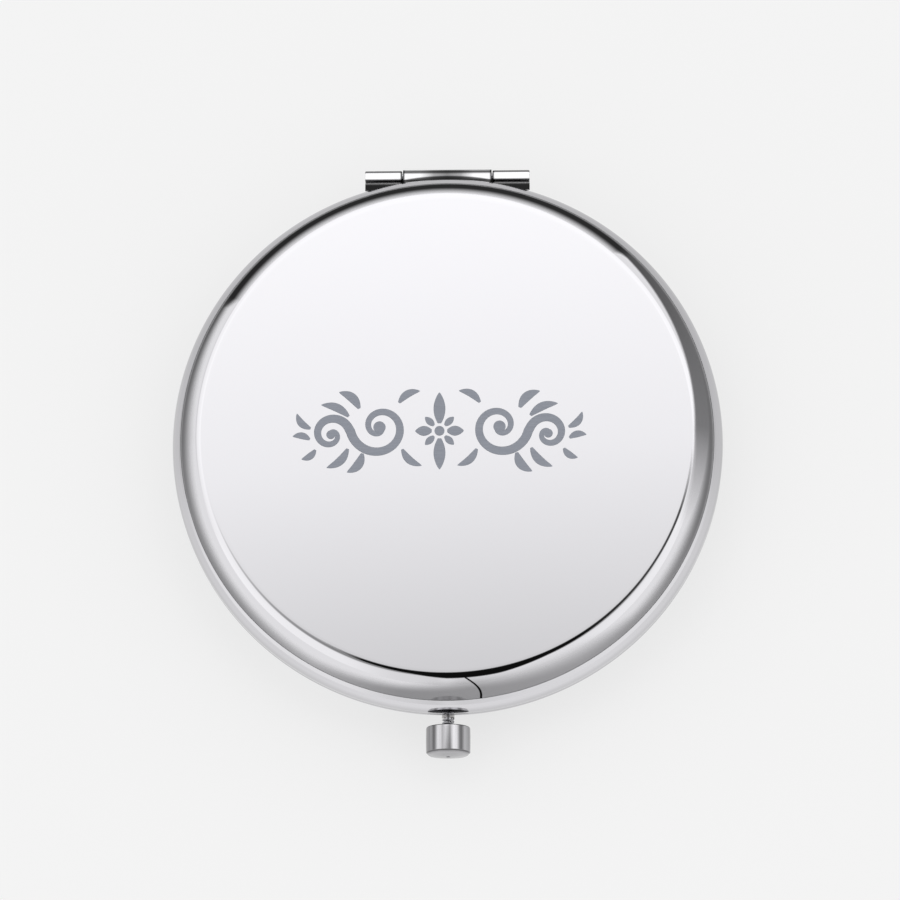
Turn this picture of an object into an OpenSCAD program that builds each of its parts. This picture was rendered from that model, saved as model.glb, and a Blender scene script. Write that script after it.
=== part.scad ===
// Round compact mirror with a hinged lid and a push-button latch.
// The base stands on its flat cover, centred on the Z axis. The hinge is at +Y and the button at -Y.
// Both halves are drawn from their flat face up to the seam, and the lid is the half turned over.

/* [Case] */
// Diameter of the case over its rim bead
case_d = 65; // [60:0.5:75]
// Height of each half, from its flat face to the seam
half_h = 6; // [5.8:0.1:8]
// Gap between the two beads when the case is closed
seam_gap = 0.1; // [0.06:0.02:0.16]

/* [Cover] */
// Thickness of the drawn sheet
cover_t = 0.5; // [0.4:0.05:0.6]
// Radial run from the edge of the flat plate to the crease
shoulder_run = 2.64; // [2.4:0.02:3]
// Radius of the corner round the flat plate
corner_r = 0.95; // [0.8:0.05:1.1]
// Steepness at which the corner passes into the shoulder, in degrees
corner_slope = 45; // [40:1:48]

/* [Frame] */
// Height of the rim bead, from the seam to the crease
bead_h = 2.65; // [2.5:0.05:2.75]
// How far the bead stands out beyond the crease
bead_out = 1.06; // [1:0.02:1.2]
// Height of the bead's straight wall at the seam
bead_wall = 0.48; // [0.4:0.02:0.6]
// Width of the flat land on top of the bead
land_w = 1.5; // [1.4:0.05:1.6]
// Small chamfer on the bead's edge at the seam
bead_edge = 0.12; // [0.08:0.02:0.2]
// Thickness of the lip that covers the mirror's edge
lip_t = 0.5; // [0.45:0.05:0.6]
// How far the lip reaches over the mirror's edge
lip_cover = 1; // [0.6:0.1:1.6]
// Bevel on the lip's inner edge
lip_bevel = 0.2; // [0.1:0.05:0.3]

/* [Mirrors] */
// Thickness of each glass
glass_t = 1.5; // [1.2:0.1:1.8]
// Depth of the magnifying mirror's dish
dish_sag = 0.65; // [0.4:0.05:0.8]
// Thickness of the backing cards
card_t = 0.5; // [0.4:0.1:0.7]
// Radial step from the mirror's edge in to the card's and the pad's edge
card_inset = 0.5; // [0.3:0.1:1]

/* [Hinge] */
// Distance of the hinge axis outside the bead
hinge_out = 0.6; // [0.56:0.02:0.8]
// Whole length of the hinge
hinge_l = 19.7; // [18:0.1:22]
// Length of the lid's centre knuckle
centre_l = 10.6; // [10:0.2:11]
// Diameter of the centre knuckle
centre_d = 1.64; // [1.5:0.02:1.7]
// Diameter of the two outer knuckles
outer_d = 1.42; // [1.4:0.02:1.5]
// Diameter of the hinge pin
pin_d = 0.7; // [0.6:0.05:0.8]
// Thickness of the hinge leaves
leaf_t = 0.4; // [0.35:0.05:0.45]
// Gap from each leaf to the seam
leaf_gap = 0.1; // [0.1:0.02:0.16]
// Distance of the lid's rivets from the middle
lid_rivet_x = 3.5; // [3:0.25:4]
// Distance of the base's rivets from the middle
base_rivet_x = 7.6; // [7.2:0.1:8]
// Diameter of the rivets' shanks
rivet_d = 0.8; // [0.7:0.05:0.9]
// Diameter of the rivets' heads
rivet_head_d = 1.4; // [1.3:0.05:1.5]
// Thickness of the rivets' heads
rivet_head_t = 0.16; // [0.12:0.02:0.2]

/* [Button] */
// Largest diameter of the button's cap
cap_d = 5.2; // [4.8:0.1:5.6]
// Length of the cap without its domed end
cap_l = 3.25; // [3:0.05:3.6]
// How much the barrel narrows towards the cap's ends
cap_bulge = 0.08; // [0.04:0.01:0.12]
// Diameter of the cap's end face inside its bevel
cap_end_d = 4.6; // [4.2:0.1:4.7]
// Length of the bevel at the cap's outer end
cap_bevel = 0.28; // [0.2:0.02:0.4]
// Height of the domed end face
cap_dome = 0.22; // [0.1:0.02:0.3]
// Small round on the cap's inner edge
cap_edge = 0.16; // [0.1:0.02:0.2]
// Diameter of the centre mark in the end face
mark_d = 0.5; // [0.3:0.05:0.7]
// Depth of the centre mark
mark_depth = 0.12; // [0.08:0.02:0.16]
// Diameter of the pocket that takes the spring
pocket_d = 1.9; // [1.8:0.1:2.2]
// Depth of the spring pocket
pocket_depth = 1.9; // [1.8:0.05:2]
// Diameter of the stem
stem_d = 0.8; // [0.74:0.02:0.84]
// How deep the stem sits in the cap beyond the spring pocket
stem_grip = 0.85; // [0.7:0.05:1]
// Gap between the cap and the case when the button is out
button_gap = 1.25; // [1.2:0.05:1.6]
// Travel of the button
press_travel = 0.9; // [0.7:0.05:0.95]

/* [Latch] */
// Outer diameter of the stem's bushing
bushing_d = 1.48; // [1.46:0.02:1.56]
// Length of the bushing inside the case
bushing_in = 1.26; // [1.1:0.02:1.4]
// How far the bushing stands out of the bead
bushing_out = 0.1; // [0.06:0.02:0.16]
// Width of the bushing's flange
flange_w = 2.8; // [2.4:0.1:3.2]
// Thickness of the bushing's flange
flange_t = 0.4; // [0.3:0.05:0.5]
// Diameter of the stem's shoulder
shoulder_d = 1.2; // [1.1:0.05:1.3]
// Thickness of the stem's shoulder
shoulder_t = 0.15; // [0.1:0.05:0.2]
// Thickness of the latch tongue
tongue_t = 0.5; // [0.4:0.05:0.6]
// Width of the latch tongue
tongue_w = 3.4; // [3:0.1:3.8]
// Depth of the tongue below the stem's axis
tongue_drop = 0.92; // [0.8:0.05:1.2]
// Reach of the tongue's nose
nose_reach = 0.55; // [0.45:0.05:0.6]
// Height of the tongue's nose
nose_h = 0.45; // [0.4:0.05:0.6]
// Height of the nose's blunt tip
nose_tip = 0.12; // [0.1:0.02:0.2]
// Length of the nose that grips the strike plate
grip = 0.35; // [0.25:0.05:0.4]
// Free play between the nose and the strike plate
latch_play = 0.05; // [0.04:0.01:0.1]
// Thickness of the strike plate
strike_t = 0.25; // [0.2:0.05:0.3]
// Width of the strike plate
strike_w = 6; // [5.6:0.2:6.4]
// Depth of the strike plate from its gripped edge outwards
strike_out = 1; // [0.9:0.05:1.1]
// Length of the strike plate's arms beside the tongue
strike_in = 1.4; // [1.2:0.1:1.5]
// Diameter of the retaining ring
ring_d = 1.5; // [1.4:0.05:1.6]
// Thickness of the retaining ring
ring_t = 0.18; // [0.14:0.02:0.2]
// Diameter of the stem in the ring's groove
groove_d = 0.56; // [0.5:0.02:0.6]
// Width of the ring's mouth
ring_mouth = 0.48; // [0.4:0.02:0.54]
// Length of the stem beyond the ring
stem_tail = 0.1; // [0.08:0.02:0.16]

/* [Spring] */
// Mean diameter of the return spring
spring_d = 1.24; // [1.22:0.01:1.28]
// Diameter of the spring wire
wire_d = 0.22; // [0.2:0.01:0.24]
// Number of turns of the spring
spring_turns = 3.95; // [3.5:0.05:4]

/* [Fits] */
// Clearance of pieces that are fixed in one another
fit_gap = 0.02; // [0.01:0.01:0.03]
// Radial clearance of the stem and the hinge pin where they run
run_gap = 0.04; // [0.02:0.01:0.06]
// Clearance beside moving pieces
side_gap = 0.15; // [0.12:0.01:0.18]
// Gap between neighbouring knuckles
knuckle_gap = 0.12; // [0.08:0.02:0.16]
// Stop gap between the stem's shoulder and the bushing at rest
stop_gap = 0.1; // [0.06:0.02:0.14]
// Room left between the pressed stem and the mirror
mirror_room = 0.2; // [0.15:0.05:0.4]

/* [Hidden] */

// One overrun serves every cut.
over = 1;
round_fn = 180;
small_fn = 48;
arc_steps = 10;
spring_sides = 6;
spring_rings = 8;
measure_rings = 24;

case_r = case_d / 2;
crease_r = case_r - bead_out;
crease_z = half_h - bead_h;
skirt_r = crease_r - fit_gap;
bore_r = skirt_r - cover_t;
land_r = case_r - land_w;
land_z = half_h - seam_gap / 2;
leaf_z = half_h - leaf_gap - leaf_t;
lip_z = leaf_z - lip_t;
skirt_z = lip_z - bead_edge;
flat_r = skirt_r - shoulder_run;

// Distances from the Z axis out to each piece of the latch, along -Y.
stem_z = lip_z - bushing_d / 2 - run_gap;
bushing_end = bore_r - bushing_in;
shoulder_out = bushing_end - stop_gap;
tongue_out = shoulder_out - shoulder_t;
tongue_in = tongue_out - tongue_t;
ring_out = tongue_in - fit_gap;
ring_in = ring_out - ring_t;
stem_in = ring_in - stem_tail;
mirror_r = stem_in - press_travel - mirror_room;
card_r = mirror_r - card_inset;
lip_r = mirror_r - lip_cover;
strike_edge = tongue_out + nose_reach - grip;

strike_z = half_h + leaf_gap + leaf_t + lip_t;
nose_z = strike_z + strike_t + latch_play;
tongue_top = nose_z + nose_h;

bushing_face = case_r + bushing_out;
cap_in = case_r + button_gap;
cap_end = cap_in + cap_l;
pocket_end = cap_in + pocket_depth;
stem_out = pocket_end + stem_grip;

axis_y = case_r + hinge_out;
outer_in = centre_l / 2 + knuckle_gap;
outer_l = hinge_l / 2 - outer_in;
rivet_circle = (mirror_r + bore_r) / 2;

// Points of an arc about a centre, with the angle taken from straight down towards +X.
function arc_points(centre, radius, from, to) =
    [for (i = [0 : arc_steps])
        let (a = from + (to - from) * i / arc_steps)
        centre + radius * [sin(a), -cos(a)]];

// The corner round the flat plate, and the shoulder arc that runs on from it to the crease.
corner_centre = [flat_r, corner_r];
shoulder_start = corner_centre + corner_r * [sin(corner_slope), -cos(corner_slope)];
shoulder_chord = [skirt_r, crease_z] - shoulder_start;
chord_slope = atan2(shoulder_chord[1], shoulder_chord[0]);
crease_slope = 2 * chord_slope - corner_slope;
shoulder_r = norm(shoulder_chord) / 2 / sin(chord_slope - corner_slope);
shoulder_centre = shoulder_start + shoulder_r * [-sin(corner_slope), cos(corner_slope)];

// The bead's back is one arc from the crease to its straight wall.
bead_rise = bead_h - bead_wall;
bead_arc_r = (pow(bead_out, 2) + pow(bead_rise, 2)) / 2 / bead_out;
bead_centre = [case_r - bead_arc_r, half_h - bead_wall];
bead_slope = asin(1 - bead_out / bead_arc_r);

// Height at which the cover's skirt starts to run straight up on the inside.
skirt_low = crease_z + cover_t * cos(crease_slope);

function reversed(points) = [for (i = [len(points) - 1 : -1 : 0]) points[i]];

// Turns a half over, so that it becomes the lid above the seam.
module as_lid() {
    translate([0, 0, 2 * half_h]) mirror([0, 0, 1]) children();
}

// A cylinder along X, centred on the point.
module bar_x(diameter, length, y, z, from = 0) {
    translate([from, y, z]) rotate([0, 90, 0]) cylinder(d = diameter, h = length, $fn = small_fn);
}

// A cylinder along -Y, between two distances from the Z axis.
module bar_y(diameter, near, far, z) {
    translate([0, -near, z]) rotate([90, 0, 0]) cylinder(d = diameter, h = far - near, $fn = small_fn);
}

// A block between two distances from the Z axis along -Y, centred on X.
module block_y(width, near, far, low, high) {
    translate([-width / 2, -far, low]) cube([width, far - near, high - low]);
}

// Shells of the case

module cover_half() {
    inner = concat(
        arc_points(corner_centre, corner_r - cover_t, 0, corner_slope),
        arc_points(shoulder_centre, shoulder_r - cover_t, corner_slope, crease_slope)
    );
    profile = concat(
        [[0, 0]],
        arc_points(corner_centre, corner_r, 0, corner_slope),
        arc_points(shoulder_centre, shoulder_r, corner_slope, crease_slope),
        [[skirt_r, skirt_z], [bore_r, skirt_z]],
        reversed(inner),
        [[0, cover_t]]
    );
    rotate_extrude($fn = round_fn) polygon(profile);
}

module frame_half() {
    profile = concat(
        [[lip_r, lip_z], [crease_r, lip_z]],
        arc_points(bead_centre, bead_arc_r, bead_slope, 90),
        [
            [case_r, land_z - bead_edge], [case_r - bead_edge, land_z], [land_r, land_z],
            [land_r, leaf_z], [lip_r + lip_bevel, leaf_z], [lip_r, leaf_z - lip_bevel]
        ]
    );
    rotate_extrude($fn = round_fn) polygon(profile);
}

// Clears the bead's wall round the centre knuckle.
module knuckle_relief() {
    bar_x(centre_d + 2 * side_gap, centre_l + 2 * knuckle_gap, axis_y, half_h, -centre_l / 2 - knuckle_gap);
}

// Opens the bead's land from above for a leaf that leaves the case between two places on X.
module leaf_notch(from, to) {
    translate([from, 0, leaf_z]) cube([to - from, case_r, half_h]);
}

// The opening in a lip that the latch tongue moves in.
module tongue_slot(near, far) {
    block_y(tongue_w + 2 * side_gap, near, far, lip_z - over, half_h);
}

module rivet_places(x) {
    for (side = [-1, 1]) translate([side * x, sqrt(pow(rivet_circle, 2) - pow(x, 2)), 0]) children();
}

module rivet() {
    translate([0, 0, lip_z - rivet_head_t]) cylinder(d = rivet_head_d, h = rivet_head_t, $fn = small_fn);
    translate([0, 0, lip_z - rivet_head_t])
        cylinder(d = rivet_d, h = lip_t + leaf_t + rivet_head_t, $fn = small_fn);
    translate([0, 0, leaf_z + leaf_t - rivet_head_t])
        cylinder(d = rivet_head_d, h = rivet_head_t, $fn = small_fn);
}

// The hole that a rivet passes through, sunk in the leaf for its head.
module rivet_hole() {
    translate([0, 0, lip_z - over])
        cylinder(d = rivet_d + 2 * fit_gap, h = half_h, $fn = small_fn);
    translate([0, 0, leaf_z + leaf_t - rivet_head_t - fit_gap])
        cylinder(d = rivet_head_d + 2 * fit_gap, h = half_h, $fn = small_fn);
}

// A straight tube along X with chamfered outer ends.
module knuckle(diameter, length, from, chamfer) {
    translate([from, axis_y, half_h]) rotate([0, 90, 0])
        rotate_extrude($fn = small_fn)
            polygon([
                [0, 0], [diameter / 2 - chamfer, 0], [diameter / 2, chamfer],
                [diameter / 2, length - chamfer], [diameter / 2 - chamfer, length], [0, length]
            ]);
}

// A flat strip of leaf from one distance on Y to another, between two places on X.
module leaf_strip(x_from, x_to, y_from, y_to) {
    translate([x_from, y_from, leaf_z]) cube([x_to - x_from, y_to - y_from, leaf_t]);
}

// Lid

module lid_cover() {
    color("gainsboro") as_lid() cover_half();
}

module lid_frame() {
    color("silver") as_lid() difference() {
        frame_half();
        knuckle_relief();
        leaf_notch(-outer_in, outer_in);
        rivet_places(lid_rivet_x) translate([0, 0, lip_z - over])
            cylinder(d = rivet_d + 2 * fit_gap, h = half_h, $fn = small_fn);
        tongue_slot(tongue_in - press_travel - side_gap, tongue_out + nose_reach + side_gap);
    }
}

module lid_mirror() {
    color("lightblue") as_lid() translate([0, 0, lip_z - glass_t])
        cylinder(r = mirror_r, h = glass_t, $fn = round_fn);
}

module lid_mirror_card() {
    color("tan") as_lid() translate([0, 0, lip_z - glass_t - card_t])
        cylinder(r = card_r, h = card_t, $fn = round_fn);
}

module lid_foam_pad() {
    color("dimgray") as_lid() translate([0, 0, cover_t])
        cylinder(r = card_r, h = lip_z - glass_t - card_t - cover_t, $fn = round_fn);
}

module lid_hinge_leaf() {
    inner_y = sqrt(pow(rivet_circle, 2) - pow(lid_rivet_x, 2)) - rivet_head_d;
    color("silver") as_lid() difference() {
        union() {
            knuckle(centre_d, centre_l, -centre_l / 2, bead_edge / 2);
            leaf_strip(-centre_l / 2, centre_l / 2, inner_y, axis_y);
        }
        bar_x(pin_d + 2 * run_gap, centre_l + 2 * over, axis_y, half_h, -centre_l / 2 - over);
        rivet_places(lid_rivet_x) rivet_hole();
    }
}

module lid_hinge_rivets() {
    color("gray") as_lid() rivet_places(lid_rivet_x) rivet();
}

module lid_strike_plate() {
    color("darkgray") difference() {
        block_y(strike_w, strike_edge - strike_in, strike_edge + strike_out, strike_z, strike_z + strike_t);
        block_y(
            tongue_w + 2 * side_gap, strike_edge - strike_in - over, strike_edge,
            strike_z - over, strike_z + strike_t + over
        );
    }
}

// Base

module base_cover() {
    color("gainsboro") difference() {
        cover_half();
        bar_y(bushing_d + 2 * fit_gap, bushing_end, bushing_face, stem_z);
    }
}

module base_frame() {
    color("silver") difference() {
        frame_half();
        knuckle_relief();
        leaf_notch(-hinge_l / 2 - knuckle_gap, -centre_l / 2);
        leaf_notch(centre_l / 2, hinge_l / 2 + knuckle_gap);
        rivet_places(base_rivet_x) translate([0, 0, lip_z - over])
            cylinder(d = rivet_d + 2 * fit_gap, h = half_h, $fn = small_fn);
        tongue_slot(tongue_in - press_travel - side_gap, tongue_out + side_gap);
        bar_y(bushing_d + 2 * fit_gap, bushing_end, bushing_face + over, stem_z);
    }
}

module base_magnifying_mirror() {
    dish_r = (pow(mirror_r, 2) + pow(dish_sag, 2)) / 2 / dish_sag;
    dish_edge = asin(mirror_r / dish_r);
    bottom = lip_z - dish_sag - glass_t;
    lower = arc_points([0, bottom + dish_r], dish_r, 0, dish_edge);
    upper = [for (p = reversed(lower)) p + [0, glass_t]];
    color("lightblue") rotate_extrude($fn = round_fn) polygon(concat(lower, upper));
}

module base_mirror_card() {
    color("tan") translate([0, 0, lip_z - dish_sag - glass_t - card_t])
        cylinder(r = card_r, h = card_t, $fn = round_fn);
}

module base_foam_pad() {
    color("dimgray") translate([0, 0, cover_t])
        cylinder(r = card_r, h = lip_z - dish_sag - glass_t - card_t - cover_t, $fn = round_fn);
}

module base_hinge_leaf() {
    inner_y = sqrt(pow(rivet_circle, 2) - pow(base_rivet_x, 2)) - rivet_head_d;
    web_y = sqrt(pow(land_r, 2) - pow(outer_in, 2)) - fit_gap;
    color("silver") difference() {
        union() {
            leaf_strip(-hinge_l / 2, hinge_l / 2, inner_y, web_y);
            for (from = [-hinge_l / 2, outer_in]) {
                leaf_strip(from, from + outer_l, inner_y, axis_y);
                knuckle(outer_d, outer_l, from, bead_edge);
            }
        }
        bar_x(pin_d + 2 * fit_gap, hinge_l + 2 * over, axis_y, half_h, -hinge_l / 2 - over);
        rivet_places(base_rivet_x) rivet_hole();
    }
}

module base_hinge_rivets() {
    color("gray") rivet_places(base_rivet_x) rivet();
}

module hinge_pin() {
    color("dimgray") bar_x(pin_d, hinge_l - 2 * fit_gap, axis_y, half_h, fit_gap - hinge_l / 2);
}

module stem_bushing() {
    flange_out = sqrt(pow(bore_r, 2) - pow(flange_w / 2, 2)) - fit_gap;
    color("lightgray") difference() {
        union() {
            bar_y(bushing_d, bushing_end, bushing_face, stem_z);
            block_y(
                flange_w, flange_out - flange_t, flange_out,
                skirt_low + fit_gap, stem_z + bushing_d / 2
            );
        }
        bar_y(stem_d + 2 * run_gap, bushing_end - over, bushing_face + over, stem_z);
    }
}

// Return spring: one wire wound round the stem, with a short straight end square to each seat.

spring_l = pocket_end - bushing_face;
coil_l = spring_l - 2 * wire_d;
coil_rings = ceil(spring_turns * spring_rings);
lead_angle = atan2(coil_l, PI * spring_d * spring_turns);

function radial(a) = [cos(a), 0, sin(a)];
function forward(a) = [-sin(a) * cos(lead_angle), -sin(lead_angle), cos(a) * cos(lead_angle)];
function unit(v) = v / norm(v);

// A point of the wire's centre line, at a share of the coil from its inner end.
function coil_point(share) =
    [0, -bushing_face - wire_d - coil_l * share, stem_z] + spring_d / 2 * radial(360 * spring_turns * share);

// A ring of the wire about a point. Where the wire bends, the ring lies in the bend's middle plane.
function wire_ring(point, out, along, stretch) =
    let (across = cross(along, out))
    [for (k = [0 : spring_sides - 1])
        let (b = 360 * k / spring_sides)
        point + wire_d / 2 * (cos(b) * out + stretch * sin(b) * across)];

module return_spring() {
    straight = [0, -1, 0];
    last = 360 * spring_turns;
    bend_stretch = 1 / cos((90 - lead_angle) / 2);
    middle_rings = [for (i = [1 : coil_rings - 1])
        let (share = i / coil_rings)
        wire_ring(coil_point(share), radial(last * share), forward(last * share), 1)];
    rings = concat(
        [wire_ring(coil_point(0) - wire_d * straight, radial(0), straight, 1)],
        [wire_ring(coil_point(0), radial(0), unit(straight + forward(0)), bend_stretch)],
        middle_rings,
        [wire_ring(coil_point(1), radial(last), unit(straight + forward(last)), bend_stretch)],
        [wire_ring(coil_point(1) + wire_d * straight, radial(last), straight, 1)]
    );
    count = len(rings);
    points = [for (ring = rings) each ring];
    sides = [for (i = [0 : count - 2], k = [0 : spring_sides - 1])
        let (
            a = i * spring_sides + k,
            b = i * spring_sides + (k + 1) % spring_sides
        )
        each [[a, b, b + spring_sides], [a, b + spring_sides, a + spring_sides]]];
    first_cap = [for (k = [1 : spring_sides - 2]) [0, k + 1, k]];
    end = (count - 1) * spring_sides;
    last_cap = [for (k = [1 : spring_sides - 2]) [end, end + k, end + k + 1]];
    color("lightgray") polyhedron(points = points, faces = concat(sides, first_cap, last_cap));
}

// Least gap of the spring's wire to itself, between points that lie more than half a turn apart.
spring_points = [for (i = [0 : ceil(spring_turns * measure_rings)])
    coil_point(i / ceil(spring_turns * measure_rings))];
spring_gap = min([for (i = [0 : len(spring_points) - 1])
    for (j = [i + measure_rings / 2 : len(spring_points) - 1])
        norm(spring_points[i] - spring_points[j])]) - wire_d;
echo(str("Least gap of the return spring to itself: ", spring_gap, " mm"));

// Button

module button_cap() {
    cap_r = cap_d / 2;
    barrel_from = cap_edge;
    barrel_to = cap_l - cap_bevel;
    barrel = [for (i = [0 : arc_steps])
        let (share = i / arc_steps)
        [cap_r - cap_bulge * pow(2 * share - 1, 2), barrel_from + (barrel_to - barrel_from) * share]];
    dome = [for (i = [0 : arc_steps])
        let (r = cap_end_d / 2 + (mark_d - cap_end_d) / 2 * i / arc_steps)
        [r, cap_l + cap_dome * (1 - pow(2 * r / cap_end_d, 2))]];
    profile = concat(
        [[0, pocket_depth], [pocket_d / 2, pocket_depth], [pocket_d / 2, 0]],
        [[cap_r - cap_bulge - cap_edge, 0]],
        barrel,
        dome,
        [[mark_d / 4, cap_l + cap_dome - mark_depth], [0, cap_l + cap_dome - mark_depth]]
    );
    color("whitesmoke") difference() {
        translate([0, -cap_in, stem_z]) rotate([90, 0, 0])
            rotate_extrude($fn = 2 * small_fn) polygon(profile);
        bar_y(stem_d + 2 * fit_gap, pocket_end - over, stem_out + fit_gap, stem_z);
    }
}

module button_stem() {
    color("darkgray") difference() {
        union() {
            bar_y(stem_d, stem_in, stem_out, stem_z);
            bar_y(shoulder_d, tongue_out, shoulder_out, stem_z);
        }
        difference() {
            bar_y(stem_d + over, ring_in - fit_gap, ring_out + fit_gap, stem_z);
            bar_y(groove_d, ring_in - over, ring_out + over, stem_z);
        }
    }
}

module latch_tongue() {
    outline = [
        [-tongue_in, stem_z - tongue_drop],
        [-tongue_in, tongue_top],
        [-tongue_out, tongue_top],
        [-tongue_out - nose_reach, nose_z + nose_tip],
        [-tongue_out - nose_reach, nose_z],
        [-tongue_out, nose_z],
        [-tongue_out, stem_z - tongue_drop]
    ];
    color("lightgray") difference() {
        translate([-tongue_w / 2, 0, 0]) rotate([90, 0, 90]) linear_extrude(tongue_w) polygon(outline);
        bar_y(stem_d + 2 * fit_gap, tongue_in - over, tongue_out + over, stem_z);
    }
}

module stem_retaining_ring() {
    color("dimgray") difference() {
        bar_y(ring_d, ring_in, ring_out, stem_z);
        bar_y(groove_d + 2 * fit_gap, ring_in - over, ring_out + over, stem_z);
        block_y(ring_mouth, ring_in - over, ring_out + over, stem_z - ring_d, stem_z);
    }
}

lid_cover();
lid_frame();
lid_mirror();
lid_mirror_card();
lid_foam_pad();
lid_hinge_leaf();
lid_hinge_rivets();
lid_strike_plate();
base_cover();
base_frame();
base_magnifying_mirror();
base_mirror_card();
base_foam_pad();
base_hinge_leaf();
base_hinge_rivets();
hinge_pin();
stem_bushing();
return_spring();
button_cap();
button_stem();
latch_tongue();
stem_retaining_ring();
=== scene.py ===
# %% [markdown]
# # A round compact mirror
# This lesson dresses a folding pocket mirror: two polished metal halves on a small hinge, a
# spring push button at the front, and two round glasses inside. The solids come from the
# construction model and stay where they are. Here each visible piece is turned, cut or swept
# again with smooth curves, because polished metal shows every facet.

# %% Load the construction model
import math

import bpy
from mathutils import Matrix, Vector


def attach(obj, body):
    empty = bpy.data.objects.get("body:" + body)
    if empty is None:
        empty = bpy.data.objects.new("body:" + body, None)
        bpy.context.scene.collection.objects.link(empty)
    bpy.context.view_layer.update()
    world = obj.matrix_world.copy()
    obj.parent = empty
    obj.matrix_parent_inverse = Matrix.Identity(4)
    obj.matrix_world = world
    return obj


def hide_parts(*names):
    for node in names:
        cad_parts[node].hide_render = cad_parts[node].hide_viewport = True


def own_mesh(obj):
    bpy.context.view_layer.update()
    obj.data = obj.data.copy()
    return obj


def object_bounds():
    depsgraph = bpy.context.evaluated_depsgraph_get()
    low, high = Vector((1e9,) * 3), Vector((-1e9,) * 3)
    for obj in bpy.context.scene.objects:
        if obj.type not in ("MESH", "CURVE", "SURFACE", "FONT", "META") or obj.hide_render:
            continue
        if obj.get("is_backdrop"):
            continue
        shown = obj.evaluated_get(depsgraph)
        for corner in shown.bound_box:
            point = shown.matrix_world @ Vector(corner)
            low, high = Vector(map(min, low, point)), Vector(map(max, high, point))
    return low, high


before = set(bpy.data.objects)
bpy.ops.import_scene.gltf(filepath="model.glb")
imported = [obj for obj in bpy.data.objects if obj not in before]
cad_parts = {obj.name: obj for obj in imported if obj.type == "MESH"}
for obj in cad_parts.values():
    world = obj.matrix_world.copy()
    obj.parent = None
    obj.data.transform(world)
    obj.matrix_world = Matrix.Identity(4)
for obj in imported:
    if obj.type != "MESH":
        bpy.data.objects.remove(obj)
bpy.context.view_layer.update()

MM = 0.001

# %% [markdown]
# ## Sizes
# All lengths are in millimetres and repeat the construction model. The radius of the case and the
# middle knuckle are a hair smaller, so that smooth curves stay inside the solids' box, and the
# cap's side is a little straighter. Heights of one half are measured from its flat face, so the
# same outlines serve the base and, turned over, the lid.

# %% Sizes of the case
CASE_R = 32.497
HALF_H = 6.0
CREASE_R = 31.44
CREASE_H = 3.35
SKIRT_R = 31.42
BORE_R = 30.92
FLAT_R = 28.78
COVER_T = 0.5
CORNER_R = 0.95
CORNER_SLOPE = math.radians(45)
BEAD_WALL = 0.48
LAND_R = 31.0
LAND_H = 5.95
EDGE = 0.12
LIP_R = 26.51
LIP_H = 5.0
LEAF_H = 5.5
SKIRT_H = 4.88
FIT = 0.02
PLAY = 0.15

# %% Sizes of the hinge, latch, button and glasses
AXIS_Y = 33.1
HINGE_L = 19.7
CENTRE_L = 10.6
OUTER_IN = 5.42
CENTRE_D = 1.639
OUTER_D = 1.42
PIN_D = 0.7
LEAF_T = 0.4
RIVET_CIRCLE = 29.215
LID_RIVET_X = 3.5
BASE_RIVET_X = 7.6
RIVET_D = 0.8
RIVET_HEAD_D = 1.4
STEM_Z = 4.22
BUSHING_D = 1.48
BUSHING_IN = 29.66
BUSHING_FACE = 32.6
TONGUE_W = 3.4
SLOT_IN = 27.86
CAP_IN = 33.75
CAP_L = 3.25
CAP_R = 2.6
CAP_BULGE = 0.02
CAP_BEVEL = 0.28
CAP_DOME = 0.22
CAP_EDGE = 0.16
CAP_END_R = 2.3
MARK_R = 0.25
POCKET_R = 0.95
POCKET_END = 35.65
MIRROR_R = 27.51
CARD_R = 27.01
GLASS_T = 1.5
CARD_T = 0.5
DISH_SAG = 0.65
ON_PIN = (0, AXIS_Y, HALF_H)
ON_STEM = (0, 0, STEM_Z)

# %% [markdown]
# ## Camera
# The photograph looks down on the closed mirror from a little in front of it, through a long
# lens. The direction comes from the squeezed circles of the rim, and the camera stands far
# enough off for the same slight perspective.

# %% Place the camera
from mathutils import Matrix, Vector

VIEW_FROM = Vector((0.0243, -0.2475, 0.9686)).normalized()
VIEW_DISTANCE = 600 * MM
LENS = 203
ROLL = math.radians(0.4)
SHIFT = (0.00267, -0.0064)
CENTRE = Vector((0, 0, HALF_H * MM))

right = (Vector((1, 0, 0)) - VIEW_FROM * VIEW_FROM.x).normalized()
up = VIEW_FROM.cross(right)
turn_to_view = Matrix((right, up, VIEW_FROM)).transposed() @ Matrix.Rotation(-ROLL, 3, "Z")

camera_data = bpy.data.cameras.new("camera")
camera_data.lens = LENS
camera_data.sensor_width = 36
camera_data.shift_x, camera_data.shift_y = SHIFT
camera_data.clip_start = 0.01
camera = bpy.data.objects.new("camera", camera_data)
bpy.context.scene.collection.objects.link(camera)
camera.location = CENTRE + VIEW_FROM * VIEW_DISTANCE
camera.rotation_euler = turn_to_view.to_euler()
bpy.context.scene.camera = camera
bpy.context.scene.view_settings.view_transform = "Standard"
print("camera stands at", [round(v, 3) for v in camera.location])

# %% [markdown]
# ## Small helpers
# An operator acts on everything that is selected, so each piece starts with nothing selected.
# Round pieces are drawn as an outline and spun, the way a spinner or a lathe makes them.

# %% Helpers for selecting and finishing
def deselect_all():
    if bpy.context.object and bpy.context.object.mode != "OBJECT":
        bpy.ops.object.mode_set(mode="OBJECT")
    bpy.ops.object.select_all(action="DESELECT")


def pick(piece):
    deselect_all()
    piece.select_set(True)
    bpy.context.view_layer.objects.active = piece


def edit_all():
    """Opens the active object in edit mode with everything selected."""
    bpy.ops.object.mode_set(mode="EDIT")
    bpy.ops.mesh.select_all(action="SELECT")


def leave_edit():
    bpy.ops.object.mode_set(mode="OBJECT")


def select_none(piece):
    for item in (*piece.data.vertices, *piece.data.edges, *piece.data.polygons):
        item.select = False


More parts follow.
